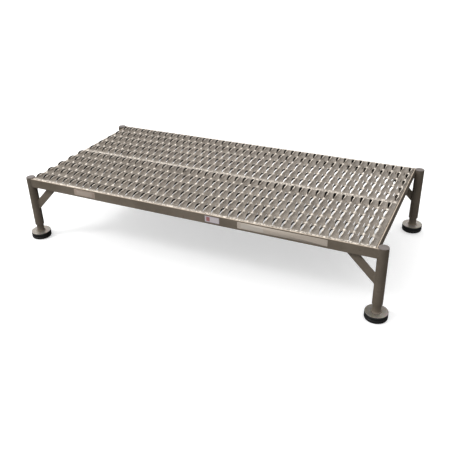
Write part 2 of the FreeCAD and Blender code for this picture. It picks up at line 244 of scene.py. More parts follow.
def circle(radius: float, sides: int) -> Array:
    """A round section."""
    angle = np.arange(sides) / sides * 2 * math.pi
    return np.stack([np.cos(angle), np.sin(angle)], axis=-1) * radius


def thicken(piece: Piece, wall: float, shade_underside: Material, top: float) -> None:
    """Gives an open sheet its wall, below its faces, and makes the result the piece's mesh.

    Args:
        piece: The open sheet, whose own material the upper face and the cut edges keep.
        wall: The sheet's gauge.
        shade_underside: The material of the lower face.
        top: No point of the result is higher than this.
    """
    # The lower face takes a near-black finish: painted shade, so that the insides of the slits look dark.
    piece.data.materials.append(shade_underside)
    solid = piece.modifiers.new("wall", "SOLIDIFY")
    solid.thickness = wall
    solid.offset = -1.0
    solid.material_offset = 1
    shaped = bpy.data.meshes.new_from_object(
        piece.evaluated_get(bpy.context.evaluated_depsgraph_get()))
    piece.modifiers.clear()
    piece.data = shaped
    shaped.set_sharp_from_angle(angle=SHEET_SHARP_TURN)
    points = np.empty(len(shaped.vertices) * 3, np.float32)
    shaped.vertices.foreach_get("co", points)
    points[2::3] = np.minimum(points[2::3], top)
    shaped.vertices.foreach_set("co", points)


# Finishes


def shaded(colour: Colour, share: float) -> Colour:
    """The colour, darker or brighter by a share."""
    return tuple(part * share for part in colour)


class Graph:
    """The node tree of one finish, with short calls for the nodes that finishes share."""

    def __init__(self, name: str) -> None:
        """Starts a material with its shader and the object's own coordinates."""
        self.material = bpy.data.materials.new(name)
        self.material.use_nodes = True
        self.tree = self.material.node_tree
        self.shader = self.tree.nodes["Principled BSDF"]
        self.place: Socket = self.add("ShaderNodeTexCoord").outputs["Object"]

    def add(self, kind: str, **settings: object) -> bpy.types.Node:
        """Adds a node and sets its properties."""
        node = self.tree.nodes.new(kind)
        for name, value in settings.items():
            setattr(node, name, value)
        return node

    def feed(self, socket: Socket, value: object) -> None:
        """Links an output to a socket, or sets the socket to a number or colour."""
        if isinstance(value, bpy.types.NodeSocket):
            self.tree.links.new(value, socket)
        else:
            socket.default_value = value

    def mapped(self, stretch: Triple) -> Socket:
        """The object's coordinates, stretched along the three axes."""
        node = self.add("ShaderNodeMapping", vector_type="POINT")
        self.feed(node.inputs["Vector"], self.place)
        node.inputs["Scale"].default_value = stretch
        return node.outputs["Vector"]

    def noise(self, scale: float, detail: float = 3.0, rough: float = 0.55,
              vector: Socket | None = None) -> Socket:
        """Cloudy noise, about 0.5 in the middle, with scale in waves per metre."""
        node = self.add("ShaderNodeTexNoise")
        self.feed(node.inputs["Vector"], vector or self.place)
        for name, number in (("Scale", scale), ("Detail", detail), ("Roughness", rough)):
            node.inputs[name].default_value = number
        return node.outputs["Fac"]

    def cells(self, scale: float) -> Socket:
        """A pattern of cells, each in a colour of its own."""
        node = self.add("ShaderNodeTexVoronoi")
        self.feed(node.inputs["Vector"], self.place)
        node.inputs["Scale"].default_value = scale
        return node.outputs["Color"]

    def level(self, value: Socket, low: float, high: float, to_low: float = 0.0,
              to_high: float = 1.0) -> Socket:
        """Spreads the values between low and high over a new range, smoothly."""
        node = self.add("ShaderNodeMapRange", interpolation_type="SMOOTHSTEP")
        self.feed(node.inputs["Value"], value)
        for name, number in (("From Min", low), ("From Max", high), ("To Min", to_low), ("To Max", to_high)):
            node.inputs[name].default_value = number
        return node.outputs["Result"]

    def sum(self, operation: str, first: object, second: object) -> Socket:
        """One arithmetic step, kept between 0 and 1."""
        node = self.add("ShaderNodeMath", operation=operation, use_clamp=True)
        self.feed(node.inputs[0], first)
        self.feed(node.inputs[1], second)
        return node.outputs["Value"]

    def blend(self, share: object, first: object, second: object, way: str = "MIX") -> Socket:
        """Mixes two colours."""
        node = self.add("ShaderNodeMix", data_type="RGBA", blend_type=way)
        self.feed(node.inputs[0], share)
        for socket, value in ((node.inputs[6], first), (node.inputs[7], second)):
            self.feed(socket, value if isinstance(value, bpy.types.NodeSocket) else (*value, 1.0))
        return node.outputs[2]

    def worn_and_lit(self) -> Socket:
        """The mesh's own per-point share, from 0 to 1: on the deck rubbing mixed with painted light and
        shade, on the foot plates nearness to the weld.
        """
        return self.add("ShaderNodeAttribute", attribute_name=WEAR_AND_LIGHT_ATTRIBUTE).outputs["Fac"]

    def axis(self, name: str) -> Socket:
        """One of the object's coordinates."""
        node = self.add("ShaderNodeSeparateXYZ")
        self.feed(node.inputs["Vector"], self.place)
        return node.outputs[name]

    def bump(self, height: Socket, depth: float, strength: float = 1.0,
             under: Socket | None = None) -> Socket:
        """Turns a height into a normal, with its depth in metres."""
        node = self.add("ShaderNodeBump")
        node.inputs["Strength"].default_value = strength
        node.inputs["Distance"].default_value = depth
        self.feed(node.inputs["Height"], height)
        if under is not None:
            self.feed(node.inputs["Normal"], under)
        return node.outputs["Normal"]

    def done(self, colour: Socket, rough: Socket, normal: Socket, metal: float = 0.0,
             specular: float = 0.5) -> Material:
        """Joins the finish to its shader."""
        self.feed(self.shader.inputs["Base Color"], colour)
        self.feed(self.shader.inputs["Roughness"], rough)
        self.feed(self.shader.inputs["Normal"], normal)
        self.shader.inputs["Metallic"].default_value = metal
        self.shader.inputs["Specular IOR Level"].default_value = specular
        return self.material


@dataclass(frozen=True)
class CoatedSteel:
    """Steel under a thin satin coat: clouds, grime, scuffs, orange peel and, on a rail, a pale top edge that
    is partly rubbed paint and partly a painted highlight.
    """

    name: str
    dark: Colour
    light: Colour
    rough: tuple[float, float] = (0.38, 0.56)
    top_rub_and_highlight_height: float | None = None
    streaks: Triple = (1.0, 1.0, 1.0)
    metal: float = 0.25

    def build(self) -> Material:
        """Makes the material."""
        graph = Graph(self.name)
        cloud = graph.noise(7.0, 4.0)
        grain = graph.noise(420.0, 3.0, 0.7, graph.mapped(self.streaks))
        colour = graph.blend(graph.level(cloud, 0.32, 0.68), self.dark, self.light)
        colour = graph.blend(graph.level(grain, 0.58, 0.78, 0.0, 0.55), colour, shaded(self.light, 1.55))
        grime = graph.level(graph.noise(55.0, 5.0, 0.7), 0.56, 0.74, 0.0, 0.45)
        colour = graph.blend(grime, colour, shaded(self.dark, 0.55))
        # A pale band along the rail's top edge: partly rubbed paint, partly a painted highlight where the
        # top catches the light.
        if self.top_rub_and_highlight_height is not None:
            edge = graph.level(graph.axis("Z"), self.top_rub_and_highlight_height - 1.2 * MM, self.top_rub_and_highlight_height - 0.3 * MM)
            edge = graph.sum("MULTIPLY", edge, graph.level(graph.noise(160.0, 2.0), 0.34, 0.52, 0.35, 1.0))
            colour = graph.blend(edge, colour, shaded(self.light, 2.1))
        rough = graph.level(graph.noise(90.0, 4.0, 0.6), 0.3, 0.7, *self.rough)
        peel = graph.bump(graph.noise(620.0, 2.0), 0.06 * MM)
        normal = graph.bump(grain, 0.05 * MM, 0.7, peel)
        return graph.done(colour, rough, normal, self.metal)


@dataclass(frozen=True)
class DeckCoat:
    """The planks' coat: dark in the dips and bright on crests, rims and edges, partly rubbing and partly
    painted light and shade; left-hand rims are painted darker as shade.
    """

    name: str
    dark: Colour
    light: Colour
    bright: Colour
    metal: float = 0.3

    def build(self) -> Material:
        """Makes the material, which reads each point's share of rubbing and painted light from the mesh."""
        graph = Graph(self.name)
        colour = graph.blend(graph.level(graph.noise(24.0, 4.0), 0.3, 0.7), self.dark, self.light)
        speckle = graph.noise(520.0, 3.0, 0.75)
        patch = graph.noise(130.0, 4.0, 0.65)
        # The share lifts the coat towards the bright colour: painted light and rubbing on crests and rims,
        # painted shade where it stays low.
        wear_and_light = graph.sum("ADD", graph.worn_and_lit(), graph.level(patch, 0.35, 0.7, -0.35, 0.25))
        colour = graph.blend(graph.level(wear_and_light, 0.25, 0.95), colour, self.bright)
        colour = graph.blend(graph.level(speckle, 0.55, 0.72, 0.0, 0.6), colour, self.bright)
        stain = graph.level(graph.noise(240.0, 3.0, 0.7), 0.6, 0.76, 0.0, 0.5)
        colour = graph.blend(stain, colour, shaded(self.dark, 0.6))
        rough = graph.level(patch, 0.3, 0.7, 0.34, 0.52)
        normal = graph.bump(speckle, 0.08 * MM, 0.8, graph.bump(patch, 0.12 * MM, 0.6))
        return graph.done(colour, rough, normal, self.metal)


@dataclass(frozen=True)
class DullZinc:
    """Zinc with soft spangle: painted dark on its side as shade, browned round the weld, and flecked pale
    near it.
    """

    name: str
    colour: Colour
    heat: Colour
    pale_fleck: Colour
    top: float

    def build(self) -> Material:
        """Makes the material, which reads how near the weld is from the mesh's per-point share."""
        graph = Graph(self.name)
        spangle = graph.blend(0.12, self.colour, graph.cells(260.0), "OVERLAY")
        fleck = graph.level(graph.noise(700.0, 3.0, 0.75), 0.5, 0.68, 0.0, 0.7)
        colour = graph.blend(fleck, spangle, shaded(self.colour, 0.42))
        near = graph.sum("ADD", graph.worn_and_lit(), graph.level(graph.noise(240.0, 3.0), 0.3, 0.7, -0.3, 0.2))
        colour = graph.blend(graph.level(near, 0.2, 0.9), colour, self.heat)
        # Pale flecks, most of them near the weld.
        pale_fleck_share = graph.level(graph.noise(330.0, 2.0, 0.6), 0.6, 0.66)
        pale_fleck_share = graph.sum("MULTIPLY", pale_fleck_share, graph.level(graph.worn_and_lit(), 0.0, 0.5, 0.25, 1.0))
        colour = graph.blend(pale_fleck_share, colour, self.pale_fleck)
        # The plate's side, just below its top, is painted near-black as shade.
        side = graph.level(graph.axis("Z"), self.top - 1.1 * MM, self.top - 0.5 * MM, 0.85, 0.0)
        colour = graph.blend(side, colour, shaded(self.colour, 0.12))
        rough = graph.level(graph.noise(180.0, 3.0), 0.3, 0.7, 0.34, 0.55)
        normal = graph.bump(graph.noise(520.0, 3.0), 0.1 * MM)
        return graph.done(colour, rough, normal, 0.75)


@dataclass(frozen=True)
class MouldedRubber:
    """Black moulded rubber with a fine matt skin and a little floor dust low down."""

    name: str
    colour: Colour
    dust: Colour

    def build(self) -> Material:
        """Makes the material."""
        graph = Graph(self.name)
        low = graph.level(graph.axis("Z"), 5.0 * MM, 0.0)
        dusty = graph.sum("MULTIPLY", low, graph.level(graph.noise(140.0, 4.0), 0.4, 0.7))
        scuff = graph.level(graph.noise(95.0, 5.0, 0.7), 0.58, 0.8, 0.0, 0.25)
        colour = graph.blend(graph.sum("ADD", dusty, scuff), self.colour, self.dust)
        rough = graph.level(graph.noise(260.0, 3.0), 0.3, 0.7, 0.42, 0.62)
        normal = graph.bump(graph.noise(900.0, 2.0), 0.05 * MM)
        return graph.done(colour, rough, normal, specular=0.42)


@dataclass(frozen=True)
class PlainSteel:
    """Bare or bright-plated steel with fine brushing along one direction."""

    name: str
    colour: Colour
    rough: tuple[float, float]
    brushing: Triple

    def build(self) -> Material:
        """Makes the material."""
        graph = Graph(self.name)
        lines = graph.noise(900.0, 2.0, 0.6, graph.mapped(self.brushing))
        colour = graph.blend(graph.level(lines, 0.3, 0.7), shaded(self.colour, 0.82), self.colour)
        rough = graph.level(graph.noise(120.0, 3.0), 0.3, 0.7, *self.rough)
        return graph.done(colour, rough, graph.bump(lines, 0.02 * MM), 1.0)


@dataclass(frozen=True)
class LabelFilm:
    """A plain film label: a blank ground, a thin border and one blank coloured panel."""

    name: str
    node: str
    ground: Colour
    border: Colour
    panel: Colour
    panel_from: float
    panel_to: float
    rim: float = 1.1 * MM

    def band(self, graph: Graph, value: Socket, low: float, high: float) -> Socket:
        """One between low and high and zero outside, with soft ends."""
        soft = 0.15 * MM
        above = graph.level(value, low - soft, low + soft)
        return graph.sum("MULTIPLY", above, graph.level(value, high - soft, high + soft, 1.0, 0.0))

    def build(self) -> Material:
        """Makes the material, laid out from the label's own box."""
        graph = Graph(self.name)
        low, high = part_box(self.node)
        across, up = graph.axis("X"), graph.axis("Z")
        length = high.x - low.x
        inside = graph.sum("MULTIPLY", self.band(graph, across, low.x + self.rim, high.x - self.rim),
                           self.band(graph, up, low.z + self.rim, high.z - self.rim))
        ends = low.x + length * self.panel_from, low.x + length * self.panel_to
        panel = graph.sum("MULTIPLY", self.band(graph, across, *ends),
                          self.band(graph, up, low.z + 3 * self.rim, high.z - 3 * self.rim))
        scuff = graph.level(graph.noise(330.0, 4.0, 0.7), 0.5, 0.75, 0.0, 0.5)
        colour = graph.blend(scuff, self.ground, shaded(self.ground, 0.62))
        colour = graph.blend(panel, colour, self.panel)
        colour = graph.blend(inside, self.border, colour)
        rough = graph.level(scuff, 0.0, 0.5, 0.45, 0.65)
        return graph.done(colour, rough, graph.bump(graph.noise(180.0, 2.0), 0.05 * MM))


@dataclass(frozen=True)
class PaleFloor:
    """A plain pale studio floor, lit faintly from within so that shadows stay soft."""

    name: str = "studio_floor"
    colour: Colour = (0.86, 0.86, 0.86)
    glow: float = 0.35

    def build(self) -> Material:
        """Makes the material."""
        graph = Graph(self.name)
        colour = graph.blend(graph.noise(0.6), self.colour, shaded(self.colour, 0.985))
        rough = graph.level(graph.noise(1.5), 0.3, 0.7, 0.8, 0.9)
        graph.shader.inputs["Emission Color"].default_value = (1.0, 1.0, 1.0, 1.0)
        graph.shader.inputs["Emission Strength"].default_value = self.glow
        return graph.done(colour, rough, graph.bump(graph.noise(30.0), 0.01 * MM), specular=0.1)


class Finishes:
    """Every finish of the platform, made once and shared by the pieces."""

    def __init__(self) -> None:
        """Makes the materials."""
        rail_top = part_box("front_rail")[1].z
        self.rail = CoatedSteel("rail_coat", (0.215, 0.177, 0.137), (0.29, 0.241, 0.19),
                                top_rub_and_highlight_height=rail_top).build()
        self.post = CoatedSteel("post_coat", (0.178, 0.147, 0.115), (0.247, 0.205, 0.161)).build()
        self.leg = CoatedSteel("leg_coat", (0.172, 0.142, 0.111), (0.241, 0.2, 0.157),
                               streaks=(1.0, 1.0, 0.06)).build()
        self.cap = CoatedSteel("cap_coat", (0.15, 0.128, 0.118), (0.21, 0.18, 0.166), (0.45, 0.65)).build()
        self.weld = CoatedSteel("weld_coat", (0.2, 0.168, 0.132), (0.3, 0.255, 0.205), (0.3, 0.5)).build()
        self.deck = DeckCoat("deck_coat", (0.19, 0.162, 0.134), (0.275, 0.237, 0.198),
                             (0.95, 0.87, 0.77)).build()
        # Near-black coat for the lower face of the deck sheet: painted shade.
        self.shade_underside = CoatedSteel("deck_underside_painted_shade", (0.012, 0.01, 0.009), (0.02, 0.017, 0.014),
                                     (0.5, 0.7)).build()
        plate_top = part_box(Corner.FRONT_LEFT.node("foot_plate"))[1].z
        self.zinc = DullZinc("plate_zinc", (0.36, 0.328, 0.292), (0.14, 0.11, 0.088),
                             (0.8, 0.76, 0.7), plate_top).build()
        self.rubber = MouldedRubber("pad_rubber", (0.012, 0.012, 0.012), (0.12, 0.115, 0.105)).build()
        self.screw = PlainSteel("screw_plating", (0.6, 0.6, 0.58), (0.25, 0.4), (1.0, 1.0, 0.2)).build()
        self.spring = PlainSteel("spring_steel", (0.66, 0.65, 0.63), (0.2, 0.34), (0.05, 1.0, 1.0)).build()


def report(piece: Piece, note: str) -> None:
    """Writes one line about a finished piece."""
    log.info("%s: %d faces, %s", piece.name, len(piece.data.polygons), note)


def dress(node: str, finish: Material) -> None:
    """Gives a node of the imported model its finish."""
    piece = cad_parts[node]
    for slot in piece.material_slots:
        slot.material = finish
    report(piece, f"kept, in {finish.name}")


# The deck


@dataclass
class GratingPlank:
    """A channel of sheet steel whose web is slit and pressed into struts.

    Lines of slits run across the plank, every half pitch, and every second line is half a row out of
    step. The slits of the odd lines are pressed up and opened into almonds with toothed rims, and
    those of the even lines are pressed down. The walls beside an almond follow wall_across and
    wall_fall, from its rim down to the valley, and the wall on its left leans by left_lean.
    """

    node: str
    finish: Material
    shade_underside: Material
    shift: float
    columns: int = 42
    rows: int = 5
    pitch: float = 28.9 * MM
    row_pitch: float = 59.0 * MM
    edge: float = 7.0 * MM
    sheet: float = 2.0 * MM
    bend: float = 3.0 * MM
    crest: float = 8.6 * MM
    crest_bond: float = 0.8 * MM
    trough: float = 5.2 * MM
    trough_bond: float = 1.5 * MM
    tooth: float = 1.0 * MM
    up_length: float = 50.0 * MM
    up_width: float = 13.0 * MM
    down_length: float = 32.0 * MM
    down_width: float = 2.4 * MM
    run_out: float = 6.0 * MM
    web_steps: int = 120
    edge_rub_and_highlight: float = 0.6
    left_rim_shade: float = 0.3
    wall_across: tuple[float, ...] = (0.0, 0.03, 0.1, 0.5, 1.0)
    wall_fall: tuple[float, ...] = (0.0, 0.35, 0.68, 0.93, 1.0)
    left_lean: tuple[float, ...] = (0.0, -0.1, -0.2, -0.12, 0.0)
    overhang: float = 2.5 * MM
    end_room: float = 0.3 * MM

    def __post_init__(self) -> None:
        """Reads the plank's place from its node."""
        low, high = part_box(self.node)
        self.low, self.high = low, high
        self.centre = (low + high) / 2
        self.flat = high.z - self.crest
        self.half_width = (high.y - low.y) / 2
        self.web = self.half_width - self.edge

    def cross_path(self) -> tuple[Array, Array]:
        """The plank's outline across its width.

        It goes up the front flange, round the bend, over the flat edge, the struts and the other flat
        edge, and down the back flange.

        Returns:
            How far across and how high each row of points is, before the struts are pressed.
        """
        drop = self.low.z - self.flat
        turn = np.linspace(0, math.pi / 2, 5)
        bend_across = self.half_width - self.bend + self.bend * np.cos(turn)
        bend_height = -self.bend + self.bend * np.sin(turn)
        edge = np.array([self.web + self.edge / 3])
        side = np.concatenate([[self.half_width], bend_across, edge])
        level = np.concatenate([[drop], bend_height, [0.0]])
        web = np.linspace(-self.web, self.web, self.web_steps + 1)
        across = np.concatenate([-side, web, side[::-1]])
        height = np.concatenate([level, np.zeros(len(web)), level[::-1]])
        return across, height

    def almond(self, across: Array, length: float, count: int) -> Array:
        """How far a line of slits is open: one at a slit's middle, and zero at its ends and between.

        With s the distance from the nearest slit's middle over half its length, it is 1 - s squared.

        Args:
            across: Places across the plank.
            length: The length of a slit.
            count: How many slits the line has.

        Returns:
            The opening at each place.
        """
        middles = (np.arange(count) - (count - 1) / 2) * self.row_pitch
        away = np.abs(across[:, None] - middles[None, :]).min(axis=1) / (length / 2)
        return np.clip(1 - away ** 2, 0, 1)

    def surface(self) -> tuple[Array, Array, Array]:
        """The upper face of the sheet.

        Each strut is a strip from an odd line, where it is as high as the crest, to an even line, where
        it is as low as the trough. Each edge stands half an opening away from its line. Between them
        the strip falls as a smooth step where the slit is closed, and as an upright wall with a shallow
        valley where it is open. Every second row of an open crest is lower, which makes the teeth.

        Returns:
            Points, faces, and each point's share of rubbing and painted light, for all strips.
        """
        across, height = self.cross_path()
        fade = np.clip((self.web - np.abs(across)) / self.run_out, 0, 1)
        press = fade * fade * (3 - 2 * fade)
        raised = self.almond(across, self.up_length, self.rows) * (press > 0)
        sunk = self.almond(across, self.down_length, self.rows - 1) * (press > 0)
        teeth = (np.arange(len(across)) % 2) * np.sqrt(raised) * self.tooth
        top = press * (self.crest_bond + (self.crest - self.crest_bond) * raised - teeth)
        bottom = -press * (self.trough_bond + (self.trough - self.trough_bond) * sunk)
        open_up = raised * self.up_width / 2 * np.sqrt(press)
        open_down = sunk * self.down_width / 2 * np.sqrt(press)

        even_share = np.linspace(0, 1, len(self.wall_across))[None, :]
        open_share = raised[:, None]
        share = (1 - open_share) * even_share + open_share * np.array(self.wall_across)[None, :]
        fall = (1 - open_share) * even_share ** 2 * (3 - 2 * even_share)
        fall = fall + open_share * np.array(self.wall_fall)[None, :]
        level = top[:, None] + (bottom - top)[:, None] * fall

        bond_wear = (1 - even_share) ** 2 * (1 - open_share) ** 2 * press[:, None]
        half = self.pitch / 2
        lines = np.arange(self.columns * 2 + 1)
        line_x = self.shift + (lines - self.columns) * half
        end_x = (self.high.x - self.low.x) / 2 + self.overhang
        strips = []
        for strip in range(self.columns * 2):
            rising = strip % 2 == 0
            odd, even = (strip + 1, strip) if rising else (strip, strip + 1)
            lean = -1.0 if rising else 1.0
            start = np.clip(line_x[odd] + lean * open_up, self.end_room - end_x, end_x - self.end_room)
            end = line_x[even] - lean * open_down
            if even in (lines[0], lines[-1]):
                end = np.full_like(end, lean * end_x)
            bent = share + open_share * np.array(self.left_lean)[None, :] * rising
            x = start[:, None] + (end - start)[:, None] * bent
            z, rubbed = level, bond_wear
            if rising:
                x, z, rubbed = x[:, ::-1], z[:, ::-1], rubbed[:, ::-1]
            y = np.repeat(across[:, None], x.shape[1], axis=1)
            strips.append(np.stack([x, y, z + height[:, None], rubbed], axis=-1))
        points, rubbed = np.split(np.array(strips), [3], axis=-1)
        # Higher points take more of the bright colour, partly as rubbing and partly as painted light, with
        # painted shade in the dips; the rising strips, whose rims are on the left, keep only a share of it
        # as painted shade.
        side_shade = np.where(np.arange(len(strips)) % 2 == 0, self.left_rim_shade, 1.0)[:, None, None]
        worn_and_lit = np.maximum(np.clip(points[..., 2] / self.crest, 0, 1) * side_shade, rubbed[..., 0])
        # The flat edges take a fixed share, partly rubbing and partly a painted highlight on their upward
        # faces.
        on_edge = (np.abs(points[..., 1]) > self.web - 1.0 * MM) & (points[..., 2] > -self.bend)
        worn_and_lit = np.where(on_edge, self.edge_rub_and_highlight, worn_and_lit)
        points = points + np.array([self.centre.x, self.centre.y, self.flat])
        strip_faces = grid_faces(len(across), len(self.wall_across))
        jumps = np.arange(len(strips))[:, None, None] * (len(across) * len(self.wall_across))
        faces = (strip_faces[None] + jumps).reshape(-1, 4)
        return points.reshape(-1, 3), faces, worn_and_lit.ravel()

    def build(self) -> None:
        """Makes the plank in place of its node."""
        points, faces, worn_and_lit = self.surface()
        piece = new_piece(f"{self.node}_grating", points, faces, self.finish, closed=False, wear_and_light=worn_and_lit)
        thicken(piece, self.sheet, self.shade_underside, self.high.z)
        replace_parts(piece, self.node)
        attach(piece, ROOT_BODY)
        report(piece, "serrated grating")


# Corners: posts with caps, braces and welds, and legs with plates, pads and buttons


@dataclass
class CornerPost:
    """A post with its pressed cap, its brace and the weld beads that hold them."""

    corner: Corner
    finishes: Finishes
    cap_inset: float = 1.4 * MM
    cap_undercut: float = 1.0 * MM
    plug_depth: float = 6.0 * MM
    plug_share: float = 0.78
    bead: float = 1.7 * MM
    ripple: float = 2.1 * MM
    inset: float = 1.5 * MM
    brace_width: float = 25.4 * MM
    sides: int = 64

    def __post_init__(self) -> None:
        """Reads the post's axis and the rails' faces from their nodes."""
        low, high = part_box(self.corner.node("post"))
        self.axis, self.radius = (low + high) / 2, (high.x - low.x) / 2
        self.inward = Vector((-math.copysign(1, self.axis.x), -math.copysign(1, self.axis.y), 0))

    def cap(self) -> Piece:
        """The cap: a slightly crowned disc with a rolled rim, on a plug in the end of the post."""
        low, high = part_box(self.corner.node("post_cap"))
        radius, top = (high.x - low.x) / 2 - self.cap_inset, high.z
        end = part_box(self.corner.node("post"))[1].z
        plug, rim = self.radius * self.plug_share, end + self.cap_undercut
        outline = rounded([(0, end - self.plug_depth), (plug, end - self.plug_depth), (plug, rim),
                           (radius - 0.3 * MM, rim), (radius, rim + 0.3 * MM),
                           (radius - 0.1 * MM, top - 0.5 * MM), (radius - 1.2 * MM, top - 0.12 * MM),
                           (radius * 0.5, top), (0, top)], 0.5 * MM)
        points, faces = turned(outline, self.sides, Vector((self.axis.x, self.axis.y, 0)))
        piece = new_piece(self.corner.node("pressed_cap"), points, faces, self.finishes.cap)
        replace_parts(piece, self.corner.node("post_cap"))
        return piece

    def weld(self, name: str, start: Vector, end: Vector, size: float) -> Piece:
        """A weld bead along a straight joint.

        Its radius follows the ripples, size times (1 + 0.12 cos of the way along over the ripple),
        and closes round at both ends.

        Args:
            name: The end of the piece's name.
            start: One end of the joint.
            end: Its other end.
            size: The bead's radius.

        Returns:
            The bead.
        """
        length = (end - start).length
        count = max(int(length / self.ripple) * 4, 12)
        share = np.linspace(0, 1, count + 1)
        way = np.array(start)[None, :] + share[:, None] * np.array(end - start)[None, :]
        rise = 1 + 0.12 * np.cos(share * length / self.ripple * 2 * math.pi)
        ends = np.sqrt(np.clip(1 - np.abs(2 * share - 1) ** 10, 0.0, 1))
        along = (end - start).normalized()
        across = along.orthogonal().normalized()
        points, faces = swept(way, np.array(across), circle(size, 10), np.maximum(rise * ends, 0.02))
        piece = new_piece(self.corner.node(name), points, faces, self.finishes.weld)
        return piece

    def rail_welds(self) -> list[Piece]:
        """The upright beads from the long rail and the end rail to the post."""
        low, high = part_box("front_rail" if self.axis.y < 0 else "back_rail")
        face_y = low.y if self.axis.y < 0 else high.y
        cut = math.sqrt(max(self.radius ** 2 - (face_y - self.axis.y) ** 2, 0))
        long_joint = self.axis.x + self.inward.x * (cut + 0.4 * MM), face_y + self.inward.y * 0.7 * MM
        low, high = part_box("left_end_rail" if self.axis.x < 0 else "right_end_rail")
        face_x = low.x if self.axis.x < 0 else high.x
        end_joint = face_x - self.inward.x * 0.9 * MM, self.axis.y + self.inward.y * 7.6 * MM
        foot, top = low.z + self.inset, high.z - self.inset
        joints = (("rail_weld", long_joint, self.bead), ("end_rail_weld", end_joint, self.bead * 1.15))
        return [self.weld(name, Vector((*joint, foot)), Vector((*joint, top)), size)
                for name, joint, size in joints]

    def brace_welds(self) -> list[Piece]:
        """The beads on both sides of the brace, under the rail and up the post."""
        low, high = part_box(self.corner.node("brace"))
        tip = high.x if self.inward.x > 0 else low.x
        stem = self.axis.x + self.inward.x * (self.radius + 0.1 * MM)
        cut = self.brace_width * math.sqrt(2)
        under, size = high.z - 0.4 * MM, self.bead * 0.9
        beads = []
        for name, side in (("brace_front", low.y), ("brace_back", high.y)):
            beads += [self.weld(f"{name}_top_weld", Vector((tip, side, under)),
                                Vector((tip - self.inward.x * cut, side, under)), size),
                      self.weld(f"{name}_post_weld", Vector((stem, side, low.z + self.inset)),
                                Vector((stem, side, low.z + cut)), size)]
        return beads

    def build(self) -> None:
        """Dresses the post and makes its cap and welds."""
        dress(self.corner.node("post"), self.finishes.post)
        dress(self.corner.node("brace"), self.finishes.rail)
        for piece in [self.cap()] + self.rail_welds() + self.brace_welds():
            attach(piece, ROOT_BODY)
            report(piece, "fixed to the frame")


